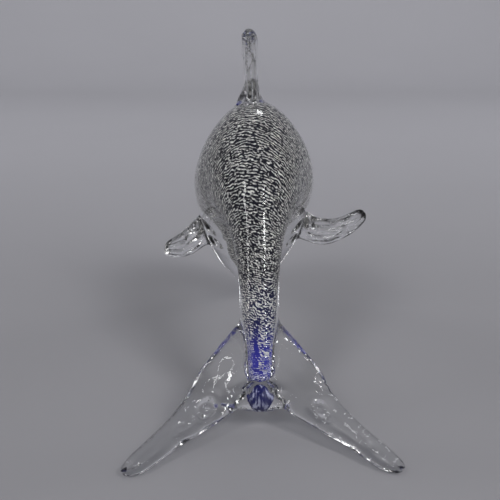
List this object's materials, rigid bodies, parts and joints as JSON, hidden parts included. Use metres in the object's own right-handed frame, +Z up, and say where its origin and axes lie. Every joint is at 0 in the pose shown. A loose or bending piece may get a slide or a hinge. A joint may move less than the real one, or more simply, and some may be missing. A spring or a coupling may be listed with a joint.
{
  "type": "glass dolphin figurine",
  "caption": "Leaping dolphin in clear cased glass with a cobalt core and silver leaf, arched over an open span, standing on its fluke tips and snout.",
  "frame": {"origin": "on the surface that the figurine stands on, under the middle of its box", "axes": "+Z up, +Y towards the snout, -Y towards the flukes, +X to the side of the raised flipper"},
  "size_m": [0.1228, 0.2433, 0.1757],
  "materials": {
    "clear_crystal": "fire-polished, colourless and slightly wavy",
    "cobalt_glass": "deep transparent cobalt under the clear casing",
    "silver_leaf": "silver leaf broken into short bright flecks",
    "white_glass": "opaque white glass, glossy",
    "black_glass": "opaque black glass, glossy"
  },
  "bodies": {
    "root": {"blue_core": "cobalt_glass", "silver_leaf": "silver_leaf", "clear_body": "clear_crystal", "dorsal_fin": "clear_crystal", "pectoral_fin_right": "clear_crystal", "pectoral_fin_left": "clear_crystal", "tail_flukes": "clear_crystal", "eye_white_right": "white_glass", "eye_white_left": "white_glass", "eye_pupil_right": "black_glass", "eye_pupil_left": "black_glass"}
  },
  "joints": []
}
